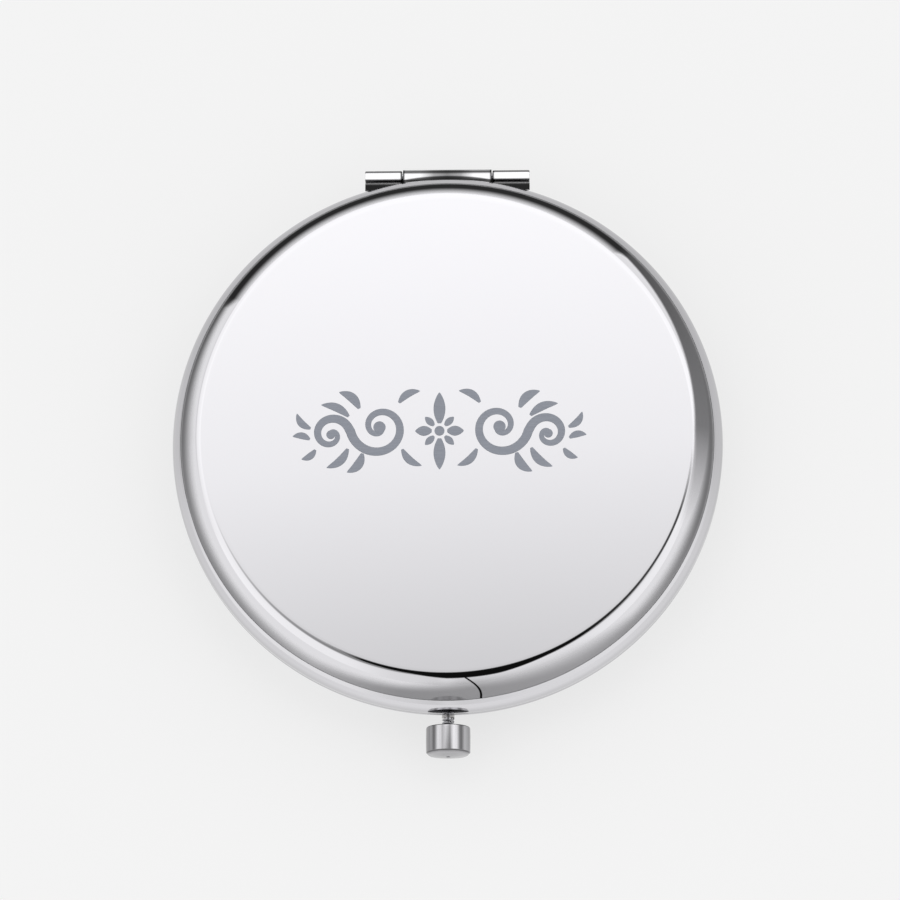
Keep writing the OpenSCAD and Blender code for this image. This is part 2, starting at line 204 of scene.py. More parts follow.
def name_new(name):
    piece = bpy.context.object
    piece.name = name
    piece.data.name = name
    return piece


def settle(piece):
    """Puts the object's place into its mesh."""
    pick(piece)
    bpy.ops.object.transform_apply(location=True, rotation=True, scale=True)


def smooth(piece, angle=30):
    pick(piece)
    bpy.ops.object.shade_smooth_by_angle(angle=math.radians(angle))


def report(piece):
    faces = sum(len(p.vertices) - 2 for p in piece.data.polygons)
    print(piece.name, "has", faces, "triangles")


def dress(piece, finish, body, node, angle=30):
    """Smooths a piece, gives it its finish and puts it in the place of its solid."""
    smooth(piece, angle)
    piece.data.materials.append(finish)
    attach(piece, body)
    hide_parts(node)
    report(piece)


# %% A helper that spins an outline into a round piece
MERGE_WITHIN = 0.0002 * MM
SIDES = {"Z": Vector((1, 0, 0)), "X": Vector((0, 0, 1)), "-Y": Vector((1, 0, 0))}
AXES = {"Z": Vector((0, 0, 1)), "X": Vector((1, 0, 0)), "-Y": Vector((0, -1, 0))}


def turn(name, outline, steps, axis="Z", place=(0, 0, 0)):
    """Outline points are (distance from the axis, distance along it) in millimetres."""
    along, side, origin = AXES[axis], SIDES[axis], Vector(place) * MM
    points = [origin + (side * r + along * t) * MM for r, t in outline]
    deselect_all()
    bpy.ops.mesh.primitive_plane_add(size=MM, location=(0, 0, 0))
    piece = name_new(name)
    edit_all()
    bpy.ops.mesh.merge(type="CENTER")
    bpy.ops.transform.translate(value=points[0])
    for here, there in zip(points, points[1:]):
        bpy.ops.mesh.extrude_region_move(TRANSFORM_OT_translate={"value": there - here})
    bpy.ops.mesh.select_all(action="SELECT")
    bpy.ops.mesh.spin(steps=steps, angle=2 * math.pi, center=origin, axis=along)
    bpy.ops.mesh.select_all(action="SELECT")
    bpy.ops.mesh.remove_doubles(threshold=MERGE_WITHIN)
    bpy.ops.mesh.normals_make_consistent(inside=False)
    leave_edit()
    settle(piece)
    return piece


def arc(centre, radius, start, end, steps):
    """Points of an arc, with the angle taken from straight towards the flat face."""
    angles = [start + (end - start) * i / steps for i in range(steps + 1)]
    return [(centre[0] + radius * math.sin(a), centre[1] - radius * math.cos(a)) for a in angles]


def turned_over(outline):
    return [(r, 2 * HALF_H - h) for r, h in outline]


# %% Helpers that cut a piece or join another to it
def combine(piece, tool, operation):
    pick(piece)
    bpy.ops.object.modifier_add(type="BOOLEAN")
    change = piece.modifiers[-1]
    change.operation = operation
    change.object = tool
    change.solver = "EXACT"
    bpy.ops.object.modifier_apply(modifier=change.name)
    bpy.data.objects.remove(tool, do_unlink=True)


def block(low, high):
    """A box between two corners in millimetres."""
    deselect_all()
    bpy.ops.mesh.primitive_cube_add(size=1)
    tool = bpy.context.object
    edit_all()
    bpy.ops.transform.resize(value=[(b - a) * MM for a, b in zip(low, high)])
    bpy.ops.transform.translate(value=[(a + b) / 2 * MM for a, b in zip(low, high)])
    leave_edit()
    settle(tool)
    return tool


def drill(piece, radius, start, end, axis, place):
    """A round hole, from start to end along an axis through a place."""
    outline = [(0, start), (radius, start), (radius, end), (0, end)]
    combine(piece, turn("tool", outline, 48, axis, place), "DIFFERENCE")


# %% [markdown]
# ## Finishes
# Chrome plate is a plain mirror with small faults: breath-thin smudges that soften it in
# patches and fine wipe marks. Painted shade lies in the crease of the covers and on the rims,
# the hinge and the button, and painted reflections lie on the covers and the cap. Each effect is
# a node group with its own inputs, so that every metal of the case uses it with other values.

# %% Helpers for node groups
def new_group(name, inputs, outputs):
    group = bpy.data.node_groups.new(name, "ShaderNodeTree")
    for label, kind, value in inputs:
        socket = group.interface.new_socket(label, in_out="INPUT", socket_type=kind)
        if value is not None:
            socket.default_value = value
    for label, kind in outputs:
        group.interface.new_socket(label, in_out="OUTPUT", socket_type=kind)
    return group, group.nodes.new("NodeGroupInput"), group.nodes.new("NodeGroupOutput")


def add_node(tree, kind, **settings):
    node = tree.nodes.new(kind)
    for label, value in settings.items():
        setattr(node, label, value)
    return node


def split(tree, vector):
    """The X, Y and Z of a vector."""
    node = add_node(tree, "ShaderNodeSeparateXYZ")
    tree.links.new(vector, node.inputs[0])
    return node.outputs


def set_ramp(node, stops, interpolation="LINEAR"):
    """Fills a colour ramp with (position, grey value or colour)."""
    ramp = node.color_ramp
    ramp.interpolation = interpolation
    while len(ramp.elements) > 1:
        ramp.elements.remove(ramp.elements[-1])
    for i, (position, value) in enumerate(stops):
        element = ramp.elements[0] if i == 0 else ramp.elements.new(position)
        element.position = position
        colour = value if isinstance(value, tuple) else (value, value, value)
        element.color = (*colour, 1)


FLOAT, VECTOR, COLOUR = "NodeSocketFloat", "NodeSocketVector", "NodeSocketColor"

# %% The smudge group: soft patches of touch and wiping
smudge, smudge_in, smudge_out = new_group(
    "smudge",
    [("Vector", VECTOR, None), ("Patch size", FLOAT, 90.0),
     ("Low", FLOAT, 0.03), ("High", FLOAT, 0.08)],
    [("Roughness", FLOAT)],
)
patches = add_node(smudge, "ShaderNodeTexNoise")
patches.inputs["Detail"].default_value = 4
patches.inputs["Roughness"].default_value = 0.6
spread = add_node(smudge, "ShaderNodeMapRange")
spread.inputs["From Min"].default_value = 0.38
spread.inputs["From Max"].default_value = 0.72
smudge.links.new(smudge_in.outputs["Vector"], patches.inputs["Vector"])
smudge.links.new(smudge_in.outputs["Patch size"], patches.inputs["Scale"])
smudge.links.new(patches.outputs["Fac"], spread.inputs["Value"])
smudge.links.new(smudge_in.outputs["Low"], spread.inputs["To Min"])
smudge.links.new(smudge_in.outputs["High"], spread.inputs["To Max"])
smudge.links.new(spread.outputs["Result"], smudge_out.inputs["Roughness"])

# %% The wipe marks group: fine lines drawn out along one direction
wipes, wipes_in, wipes_out = new_group(
    "wipe_marks",
    [("Vector", VECTOR, None), ("Stretch", VECTOR, (1, 30, 1)), ("Fineness", FLOAT, 400.0)],
    [("Height", FLOAT)],
)
stretch = add_node(wipes, "ShaderNodeVectorMath", operation="MULTIPLY")
lines = add_node(wipes, "ShaderNodeTexNoise")
lines.inputs["Detail"].default_value = 2
wipes.links.new(wipes_in.outputs["Vector"], stretch.inputs[0])
wipes.links.new(wipes_in.outputs["Stretch"], stretch.inputs[1])
wipes.links.new(stretch.outputs["Vector"], lines.inputs["Vector"])
wipes.links.new(wipes_in.outputs["Fineness"], lines.inputs["Scale"])
wipes.links.new(lines.outputs["Fac"], wipes_out.inputs["Height"])

# %% The bearing group: where a point lies round the case, from 0 to 1
bearing, bearing_in, bearing_out = new_group(
    "bearing", [("Vector", VECTOR, None)], [("Bearing", FLOAT), ("Distance", FLOAT)]
)
axes = split(bearing, bearing_in.outputs["Vector"])
angle = add_node(bearing, "ShaderNodeMath", operation="ARCTAN2")
share = add_node(bearing, "ShaderNodeMapRange")
share.inputs["From Min"].default_value = -math.pi
share.inputs["From Max"].default_value = math.pi
flatten = add_node(bearing, "ShaderNodeVectorMath", operation="MULTIPLY")
flatten.inputs[1].default_value = (1, 1, 0)
distance = add_node(bearing, "ShaderNodeVectorMath", operation="LENGTH")
bearing.links.new(axes["Y"], angle.inputs[0])
bearing.links.new(axes["X"], angle.inputs[1])
bearing.links.new(angle.outputs["Value"], share.inputs["Value"])
bearing.links.new(bearing_in.outputs["Vector"], flatten.inputs[0])
bearing.links.new(flatten.outputs["Vector"], distance.inputs[0])
bearing.links.new(share.outputs["Result"], bearing_out.inputs["Bearing"])
bearing.links.new(distance.outputs["Value"], bearing_out.inputs["Distance"])


def around(degrees):
    """The place of an angle on the bearing group's scale."""
    return (degrees + 180) / 360


def bearings(pairs):
    return [(around(degrees), value) for degrees, value in pairs]


def add_ramp(tree, value, stops, interpolation="LINEAR"):
    node = add_node(tree, "ShaderNodeValToRGB")
    set_ramp(node, stops, interpolation)
    tree.links.new(value, node.inputs["Fac"])
    return node.outputs["Color"]


def add_map(tree, value, low, high, smooth_ends=False):
    """Spreads a value between two limits, which may be numbers or sockets, over 0 to 1."""
    kind = "SMOOTHSTEP" if smooth_ends else "LINEAR"
    node = add_node(tree, "ShaderNodeMapRange", interpolation_type=kind)
    tree.links.new(value, node.inputs["Value"])
    for label, limit in (("From Min", low), ("From Max", high)):
        if isinstance(limit, (int, float)):
            node.inputs[label].default_value = limit
        else:
            tree.links.new(limit, node.inputs[label])
    return node.outputs["Result"]


def calculate(tree, operation, *values):
    """One step of arithmetic on numbers or sockets."""
    node = add_node(tree, "ShaderNodeMath", operation=operation)
    for socket, value in zip(node.inputs, values):
        if isinstance(value, (int, float)):
            socket.default_value = value
        else:
            tree.links.new(value, socket)
    return node.outputs["Value"]


def repeat(tree, operation, first, *others):
    """The same step over and over, such as the product of many values."""
    for value in others:
        first = calculate(tree, operation, first, value)
    return first


def mixed(tree, factor, first, second, blend_type="MIX"):
    """Mixes two colours. The factor is a number or socket, and each colour a tuple or socket."""
    node = add_node(tree, "ShaderNodeMix", data_type="RGBA", blend_type=blend_type)
    for label, value in (("Factor", factor), ("A", first), ("B", second)):
        if isinstance(value, tuple):
            node.inputs[label].default_value = (*value, 1)
        elif isinstance(value, (int, float)):
            node.inputs[label].default_value = value
        else:
            tree.links.new(value, node.inputs[label])
    return node.outputs["Result"]


def multiplied(tree, first, second):
    return mixed(tree, 1, first, second, "MULTIPLY")


def add_span(tree, value, low, high):
    """Turns 0 to 1 into a length between two limits."""
    node = add_node(tree, "ShaderNodeMapRange")
    node.inputs["To Min"].default_value = low
    node.inputs["To Max"].default_value = high
    tree.links.new(value, node.inputs["Value"])
    return node.outputs["Result"]


# %% The crease group: painted shade where the cover dips under the rim
# The crease is painted dark: darkest at the hinge, and reaching further up at the right. At the
# front it is only a soft painted shade, with a thin black line along the corner of the plate and
# one dark streak beside the button, both painted reflections.
SHADE_LOW, SHADE_HIGH = 28.5 * MM, 31.5 * MM
STREAK_WIDTH = 0.0011

crease, crease_in, crease_out = new_group(
    "crease_painted_shade", [("Vector", VECTOR, None), ("Clean", COLOUR, (0.8, 0.8, 0.8, 1))],
    [("Color", COLOUR), ("Metallic", FLOAT)],
)
whereabouts = add_node(crease, "ShaderNodeGroup", node_tree=bearing)
crease.links.new(crease_in.outputs["Vector"], whereabouts.inputs["Vector"])
turned, reach = whereabouts.outputs["Bearing"], whereabouts.outputs["Distance"]


def shade_radius(places):
    """A radius that changes with the bearing, from (degrees, millimetres)."""
    scale = SHADE_HIGH - SHADE_LOW
    stops = bearings((a, (r * MM - SHADE_LOW) / scale) for a, r in places)
    return add_span(crease, add_ramp(crease, turned, stops), SHADE_LOW, SHADE_HIGH)


def crease_band(strength, start, end):
    """Dark between two radii; strength and radii change with the bearing."""
    between = add_map(crease, reach, shade_radius(start), shade_radius(end), True)
    return calculate(crease, "MULTIPLY", between, add_ramp(crease, turned, bearings(strength)))


front_shade = crease_band(
    ((-180, 0.78), (-160, 0.65), (-140, 0.58), (-120, 0.42), (-100, 0.57), (-60, 0.5), (-40, 0.55),
     (-20, 0.72), (0, 0.78), (25, 0.8), (44, 0.8), (46, 0.0)),
    ((-180, 29.45), (-160, 30.0), (-120, 30.4), (-100, 30.0), (-85, 29.2), (-60, 29.2),
     (-45, 30.2), (-20, 29.9), (0, 29.6), (25, 30.2)),
    ((-180, 31.25), (-120, 31.45), (-100, 31.0), (-85, 30.6), (-60, 31.35), (-20, 31.2),
     (0, 31.0)),
)
rear_shade = crease_band(
    ((-22, 0.0), (1, 0.73), (20, 0.8), (45, 0.9), (47, 0.975), (147, 0.98), (148.5, 0.9),
     (160, 0.84), (180, 0.78)),
    ((0, 28.85), (20, 29.35), (46, 30.05), (47.5, 29.05), (147, 29.05), (148.5, 29.8),
     (180, 29.45)),
    ((0, 29.25), (20, 29.7), (46, 30.4), (47.5, 30.3), (147, 30.3), (148.5, 31.0), (180, 31.25)),
)
# The painted shade is held lighter again right at the rim.
most_shade = add_span(crease, add_map(crease, reach, 31.4 * MM, 30.95 * MM), 0.54, 1.0)
painted_shade = calculate(
    crease, "MINIMUM", calculate(crease, "MAXIMUM", front_shade, rear_shade), most_shade
)

# A fine dark streak, a painted reflection, crosses the painted shade beside the button, on the lid
# alone.
height = split(crease, crease_in.outputs["Vector"])["Z"]
on_lid = add_map(crease, height, (HALF_H - 0.1) * MM, (HALF_H + 0.1) * MM)
down_streak = add_map(crease, reach, 29.3 * MM, 31.3 * MM)
bend = calculate(crease, "SINE", calculate(crease, "MULTIPLY", down_streak, 1.8))
streak_place = add_span(crease, bend, around(-86.1), around(-82.7))
off_streak = calculate(crease, "ABSOLUTE", calculate(crease, "SUBTRACT", turned, streak_place))
on_streak = repeat(
    crease, "MULTIPLY", on_lid, add_map(crease, off_streak, STREAK_WIDTH, STREAK_WIDTH / 2),
    add_map(crease, reach, 29.25 * MM, 29.35 * MM),
)

# At the front a thin black line is painted along the corner, a painted reflection, thickest beside
# the streak.
line_end = shade_radius((
    (-128, 28.6), (-112, 28.98), (-98, 29.12), (-90, 29.38), (-78, 29.4), (-66, 29.14),
    (-46, 29.0), (-32, 28.95), (-20, 28.97), (0, 28.97),
))
past_line = calculate(crease, "SUBTRACT", reach, line_end)
line_depth = add_ramp(crease, turned, bearings((
    (-122, 0.0), (-110, 1.0), (-58, 1.0), (-40, 0.95), (-20, 0.92), (-4, 0.0),
)))
on_line = repeat(
    crease, "MULTIPLY", line_depth, add_map(crease, past_line, 0.09 * MM, 0),
    add_map(crease, reach, 28.71 * MM, 28.81 * MM),
)
amount = repeat(crease, "MAXIMUM", painted_shade, on_streak, on_line)
shade = mixed(crease, amount, crease_in.outputs["Clean"], (0.005, 0.005, 0.005))
crease.links.new(shade, crease_out.inputs["Color"])
crease.links.new(calculate(crease, "SUBTRACT", 1.0, amount), crease_out.inputs["Metallic"])

# %% The group of painted rim shade: lightest at the front, darker at the sides and back and low down
rim_shade, rim_shade_in, rim_shade_out = new_group(
    "rim_shade", [("Vector", VECTOR, None), ("Clean", COLOUR, (0.8, 0.8, 0.8, 1))],
    [("Color", COLOUR)],
)
whereabouts = add_node(rim_shade, "ShaderNodeGroup", node_tree=bearing)
height = split(rim_shade, rim_shade_in.outputs["Vector"])["Z"]
rim_shade.links.new(rim_shade_in.outputs["Vector"], whereabouts.inputs["Vector"])
# Painted shade by the bearing: lightest at the front, darker at the sides and the back.
round_shade = add_ramp(rim_shade, whereabouts.outputs["Bearing"], bearings((
    (-180, 0.76), (-160, 0.84), (-130, 0.91), (-100, 0.98), (-60, 0.97), (-30, 0.88), (0, 0.72),
    (40, 0.64), (90, 0.66), (150, 0.68), (180, 0.76),
)), "EASE")
# Painted shade by height: darker towards the rim's lower side.
low_shade = add_ramp(rim_shade, add_map(rim_shade, height, 4.6 * MM, 7.8 * MM), [
    (0.0, 0.55), (0.4, 0.7), (0.8, 0.81), (0.97, 0.93), (1.0, 0.95),
])
shaded_rim = multiplied(rim_shade, multiplied(rim_shade, rim_shade_in.outputs["Clean"], round_shade), low_shade)
rim_shade.links.new(shaded_rim, rim_shade_out.inputs["Color"])

# %% Helpers that make a material
def new_material(name, colour, metallic=0.0, roughness=0.5):
    material = bpy.data.materials.new(name)
    material.use_nodes = True
    tree = material.node_tree
    shader = tree.nodes["Principled BSDF"]
    shader.inputs["Base Color"].default_value = (*colour, 1)
    shader.inputs["Metallic"].default_value = metallic
    shader.inputs["Roughness"].default_value = roughness
    place = add_node(tree, "ShaderNodeTexCoord")
    return material, tree, shader, place.outputs["Object"]


def use_group(tree, group, place, **values):
    node = add_node(tree, "ShaderNodeGroup", node_tree=group)
    tree.links.new(place, node.inputs["Vector"])
    for label, value in values.items():
        node.inputs[label.replace("_", " ")].default_value = value
    return node


def add_bump(tree, shader, height, distance, strength=1.0):
    bump = add_node(tree, "ShaderNodeBump")
    bump.inputs["Strength"].default_value = strength
    bump.inputs["Distance"].default_value = distance
    tree.links.new(height, bump.inputs["Height"])
    tree.links.new(bump.outputs["Normal"], shader.inputs["Normal"])


def plated(name, colour, low, high, patch=90.0, lines=None, depth=0.0):
    """A plated metal with smudges and, where lines are given, fine wipe marks."""
    material, tree, shader, place = new_material(name, colour, metallic=1.0)
    touch = use_group(tree, smudge, place, Patch_size=patch, Low=low, High=high)
    tree.links.new(touch.outputs["Roughness"], shader.inputs["Roughness"])
    if lines:
        marks = use_group(tree, wipes, place, Stretch=lines)
        add_bump(tree, shader, marks.outputs["Height"], depth)
    return material, tree, shader, place


# %% [markdown]
# ### Chrome of the case
# The covers are the brightest pieces. Their colour passes through the painted shade of the
# crease group, and the colour of the rims passes through the group of painted rim shade.

# %% Chrome finishes
CHROME = (0.803, 0.796, 0.822)

chrome_shell, tree, shader, place = plated("chrome_shell", CHROME, 0.02, 0.045, patch=70.0)
# The covers' colour and metal pass through the painted shade of the crease group.
painted_shade = use_group(tree, crease, place, Clean=(*CHROME, 1))
tree.links.new(painted_shade.outputs["Color"], shader.inputs["Base Color"])
tree.links.new(painted_shade.outputs["Metallic"], shader.inputs["Metallic"])
# No specular layer, so the painted shade stays dark from every side.
shader.inputs["Specular IOR Level"].default_value = 0.0

chrome_rim, tree, shader, place = plated("chrome_rim", CHROME, 0.05, 0.10)
shaded_rim = use_group(tree, rim_shade, place, Clean=(*CHROME, 1))
tree.links.new(shaded_rim.outputs["Color"], shader.inputs["Base Color"])

# %% [markdown]
# ### Hinge and button
# The small parts are plated in a barrel, so they are a little softer than the covers. Painted
# shade darkens the undersides of the hinge's knuckles, the legs beside the rim, the joints and
# the middle of the long knuckle, and a bump gives the knuckles the slight flat that rolling leaves
# on top. Painted reflections lie along the cap as light and dark bars, and its bevel and end
# carry painted shade.

# %% Hinge finish
# The hinge's chrome is a brighter copy of the case's chrome, a painted highlight that keeps the
# knuckles white.
HINGE_CHROME = (0.95, 0.945, 0.96)


def shaded_hinge_chrome(name, round_pin, beside_rim, along):
    """Chrome with painted shade by the angle round the pin: 0 at the top, positive at the back."""
    material, tree, shader, place = plated(name, HINGE_CHROME, 0.22, 0.32, patch=400.0)
    axes = split(tree, place)
    to_case = add_node(tree, "ShaderNodeGroup", node_tree=bearing)
    tree.links.new(place, to_case.inputs["Vector"])
    lean = calculate(
        tree, "ARCTAN2",
        calculate(tree, "SUBTRACT", axes["Y"], AXIS_Y * MM),
        calculate(tree, "SUBTRACT", axes["Z"], HALF_H * MM),
    )
    # Painted shade by the angle round the pin, beside the rim and along the legs.
    colour = HINGE_CHROME
    for value, low, high, stops in (
        (lean, -math.pi, math.pi, bearings(round_pin)),
        (to_case.outputs["Distance"], 31 * MM, 34 * MM, beside_rim),
        (axes["Y"], 31 * MM, 32.8 * MM, along),
    ):
        colour = multiplied(tree, colour, add_ramp(tree, add_map(tree, value, low, high), stops))

    # Painted shade darkens the joints between the knuckles and the middle of the long one.
    from_middle = calculate(tree, "ABSOLUTE", axes["X"])
    joint = (CENTRE_L / 2 + OUTER_IN) / 2
    to_joint = calculate(tree, "ABSOLUTE", calculate(tree, "SUBTRACT", from_middle, joint * MM))
    for value, high, stops in (
        (to_joint, MM, [(0.08, 0.04), (0.2, 0.3), (0.32, 1.0)]),
        (from_middle, 4 * MM, [(0.0, 0.25), (0.4, 0.4), (0.8, 1.0)]),
    ):
        colour = multiplied(tree, colour, add_ramp(tree, add_map(tree, value, 0, high), stops))
    tree.links.new(colour, shader.inputs["Base Color"])

    # The strip was rolled a little flat on top.
    flat = add_map(tree, lean, math.radians(20), math.radians(-44))
    add_bump(tree, shader, calculate(tree, "MULTIPLY", flat, flat), 0.4 * MM)
    return material


chrome_centre = shaded_hinge_chrome(
    "chrome_centre",
    ((-180, 0.4), (-130, 0.4), (-100, 0.95), (6, 0.9), (14, 0.4), (25, 0.06), (34, 0.12), (46, 0.4),
     (90, 0.45), (180, 0.4)),
    [(0.1, 1.0), (0.2, 0.08), (0.58, 0.08), (0.63, 0.15), (0.67, 1.0)],
    [(0.0, 1.0)],
)
chrome_ends = shaded_hinge_chrome(
    "chrome_ends",
    ((-180, 1.0), (18, 1.0), (27, 0.5), (33, 0.13), (60, 0.16), (180, 0.12)),
    [(0.0, 1.0)],
    [(0.17, 1.0), (0.25, 0.02), (0.61, 0.02), (0.69, 0.1), (0.75, 0.6), (0.81, 0.3), (0.87, 0.08),
     (0.93, 0.6), (0.97, 1.0)],
)

# %% Button finish
chrome_button, tree, shader, place = plated("chrome_button", CHROME, 0.16, 0.26, patch=500.0)
axes = split(tree, place)
across = add_map(tree, axes["X"], -CAP_R * MM, CAP_R * MM)
# Painted reflections: lengthwise light and dark bars, set by the place across the cap.
painted_bars = add_ramp(tree, across, [
    (0.0, 0.4), (0.08, 0.4), (0.12, 0.5), (0.18, 0.2), (0.21, 0.25), (0.28, 0.8), (0.34, 0.85),
    (0.38, 0.55), (0.46, 0.85), (0.55, 0.33), (0.63, 1.0), (0.7, 0.9), (0.77, 0.2), (0.81, 0.2),
    (0.87, 0.62), (1.0, 0.42),
])
wander = use_group(tree, wipes, place, Stretch=(1, 0.05, 1), Fineness=1500.0)
loose = add_span(tree, wander.outputs["Height"], 0.7, 1.3)
outward = add_map(tree, axes["Y"], -(CAP_IN + CAP_L - 1) * MM, -(CAP_IN + CAP_L + 1) * MM)
bevelled = (1 - CAP_BEVEL) / 2  # where the bevel starts on that scale
# Painted shade: the bevel and the domed end get their own darker tones.
painted_end_tone = add_ramp(tree, outward, [
    (bevelled - 0.01, 0.4), (bevelled + 0.04, 0.14), (bevelled + 0.1, 0.5),
    (0.53, 0.55), (0.6, 0.48),
])
on_end = add_ramp(tree, outward, [(bevelled - 0.02, 0.0), (bevelled + 0.01, 1.0)])
tone = mixed(tree, on_end, multiplied(tree, painted_bars, loose), painted_end_tone)
tree.links.new(multiplied(tree, CHROME, tone), shader.inputs["Base Color"])

# %% [markdown]
# ### Steel and nickel of the small parts
# Stem, latch, rivets and pin are plain drawn steel, a little duller than chrome, with the lines
# of drawing and grinding. The bushing is turned and nickel plated, with fine rings round it.

# %% Steel and nickel
bright_steel = plated(
    "bright_steel", (0.58, 0.58, 0.6), 0.18, 0.34, patch=600.0, lines=(40, 2, 8), depth=0.004 * MM
)[0]
bushing_nickel = plated(
    "bushing_nickel", (0.5, 0.49, 0.48), 0.2, 0.34, patch=700.0, lines=(6, 60, 6), depth=0.003 * MM
)[0]

# The back of the cap and its pocket are painted dark as painted shade, and the small mark on its
# end is dark too.
painted_dark = plated("painted_dark", (0.1, 0.1, 0.105), 0.3, 0.45, patch=600.0)[0]

# %% [markdown]
# ### Mirror glass
# The glass is silvered on its back, so from the front it is a mirror under a clear hard coat.
# Only a breath of dust and a few wipe marks lie on it.

# %% Mirror
mirror_glass, tree, shader, place = new_material("mirror_glass", (0.74, 0.77, 0.76), metallic=1.0)
touch = use_group(tree, smudge, place, Patch_size=55.0, Low=0.004, High=0.022)
tree.links.new(touch.outputs["Roughness"], shader.inputs["Roughness"])
shader.inputs["Coat Weight"].default_value = 0.5
shader.inputs["Coat Roughness"].default_value = 0.01

# %% [markdown]
# ### Card and foam
# Grey-brown pulp card shows short fibres, and open-cell foam shows round pores. Both hide in
# the case and are seen only when it is taken apart.

# %% Card
backing_card, tree, shader, place = new_material("backing_card", (0.46, 0.38, 0.28), roughness=0.9)
fibres = use_group(tree, wipes, place, Stretch=(3, 12, 3), Fineness=180.0)
tint = add_ramp(
    tree, fibres.outputs["Height"], [(0.3, (0.38, 0.31, 0.22)), (0.7, (0.55, 0.47, 0.36))]
)
tree.links.new(tint, shader.inputs["Base Color"])
add_bump(tree, shader, fibres.outputs["Height"], 0.05 * MM, 0.6)

# %% Foam
foam, tree, shader, place = new_material("foam", (0.05, 0.05, 0.052), roughness=0.95)
pores = add_node(tree, "ShaderNodeTexVoronoi")
pores.inputs["Scale"].default_value = 2600
tree.links.new(place, pores.inputs["Vector"])
tint = add_ramp(
    tree, pores.outputs["Distance"], [(0.0, (0.012, 0.012, 0.013)), (0.6, (0.075, 0.075, 0.08))]
)
tree.links.new(tint, shader.inputs["Base Color"])
add_bump(tree, shader, pores.outputs["Distance"], 0.15 * MM)

# %% [markdown]
# ### Etched ornament
# The decoration on the lid is burnt into the chrome by a laser that fills it line by line. It
# comes out as an even blue grey, matt, with the trace of the lines.

# %% Etched grey
etched_grey, tree, shader, place = new_material("etched_grey", (0.28, 0.3, 0.345), roughness=0.55)
hatch = use_group(tree, wipes, place, Stretch=(0.6, 14, 1), Fineness=900.0)
tint = add_ramp(
    tree, hatch.outputs["Height"], [(0.3, (0.255, 0.272, 0.318)), (0.7, (0.305, 0.323, 0.37))]
)
tree.links.new(tint, shader.inputs["Base Color"])
add_bump(tree, shader, hatch.outputs["Height"], 0.01 * MM, 0.5)

# %% [markdown]
# ## Stage and light
# A mirror shows its surroundings, so the studio is made of broad tones: a large soft light
# behind and above, paler side walls, and a dark place overhead in front, where the camera
# stands. That dark place gives the plate its slow fall from white at the back to grey at the
# front. The floor's paleness comes from its own glow, which only the camera and reflections see.

# %% Floor
FLOOR_R = 3.0
FLOOR_GLOW = 0.68

deselect_all()
bpy.ops.mesh.primitive_circle_add(vertices=64, radius=FLOOR_R, fill_type="NGON")
floor = name_new("floor")
floor_paint, tree, shader, place = new_material("floor_paint", (0.25, 0.25, 0.25), roughness=1.0)
shader.inputs["Specular IOR Level"].default_value = 0.0
rays = add_node(tree, "ShaderNodeLightPath").outputs
seen = repeat(
    tree, "MAXIMUM", rays["Is Camera Ray"], rays["Is Glossy Ray"], rays["Is Transmission Ray"]
)
shader.inputs["Emission Color"].default_value = (1, 1, 1, 1)
tree.links.new(calculate(tree, "MULTIPLY", seen, FLOOR_GLOW), shader.inputs["Emission Strength"])
floor.data.materials.append(floor_paint)
floor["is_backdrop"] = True

# %% Studio light
world = bpy.data.worlds.new("studio")
bpy.context.scene.world = world
world.use_nodes = True
tree = world.node_tree
light = tree.nodes["Background"]
direction = add_node(tree, "ShaderNodeTexCoord").outputs["Generated"]
parts = split(tree, direction)

# Tones stay below 1 in the ramps, and the strength lifts them together.
LIGHT_TOP = 1.25
side_position = add_map(tree, parts["X"], -1, 1)
rear_tone = add_ramp(tree, side_position, [
    (0.0, 0.81), (0.2, 0.89), (0.5, 0.99), (0.8, 0.94), (1.0, 0.9),
], "EASE")
front_tone = add_ramp(tree, side_position, [
    (0.0, 0.88), (0.22, 0.82), (0.4, 0.66), (0.46, 0.62), (0.49, 0.68), (0.52, 0.64),
    (0.68, 0.72), (1.0, 0.84),
], "EASE")
# Low behind, the wall is no brighter than the floor, so a plate seen from low down isn't white.
low_wall = add_ramp(tree, parts["Z"], [(0.0, 0.74), (0.15, 0.77), (0.3, 0.92), (0.42, 1.0)])
rear_tone = multiplied(tree, rear_tone, low_wall)
walls = mixed(tree, add_map(tree, parts["Y"], -0.25, 0.2), front_tone, rear_tone)

# %% The dark place overhead, where the camera stands
SPOT_CENTRE = Vector((0.02, -0.292, 0.956)).normalized()
SPOT_EDGE = 0.8

nearness = add_node(tree, "ShaderNodeVectorMath", operation="DOT_PRODUCT")
tree.links.new(direction, nearness.inputs[0])
nearness.inputs[1].default_value = SPOT_CENTRE
camera_spot = add_ramp(tree, add_map(tree, nearness.outputs["Value"], SPOT_EDGE, 1.0), [
    (0.1, 1.0), (0.17, 0.94), (0.27, 0.85), (0.39, 0.6), (0.57, 0.4), (0.8, 0.3),
])
sky = multiplied(tree, walls, camera_spot)
tree.links.new(sky, light.inputs["Color"])
light.inputs["Strength"].default_value = LIGHT_TOP

# %% [markdown]
# ## Covers
# Each cover is drawn from sheet in a press: a flat plate, a rounded corner and a steep shoulder
# that dips under the rim. One outline is spun for both, so the halves match as the real ones do.

# %% Outline of a cover
corner_centre = (FLAT_R, CORNER_R)
shoulder_start = arc(corner_centre, CORNER_R, CORNER_SLOPE, CORNER_SLOPE, 1)[0]
run, rise = SKIRT_R - shoulder_start[0], CREASE_H - shoulder_start[1]
chord_slope = math.atan2(rise, run)
crease_slope = 2 * chord_slope - CORNER_SLOPE
shoulder_r = math.hypot(run, rise) / 2 / math.sin(chord_slope - CORNER_SLOPE)
shoulder_centre = (
    shoulder_start[0] - shoulder_r * math.sin(CORNER_SLOPE),
    shoulder_start[1] + shoulder_r * math.cos(CORNER_SLOPE),
)


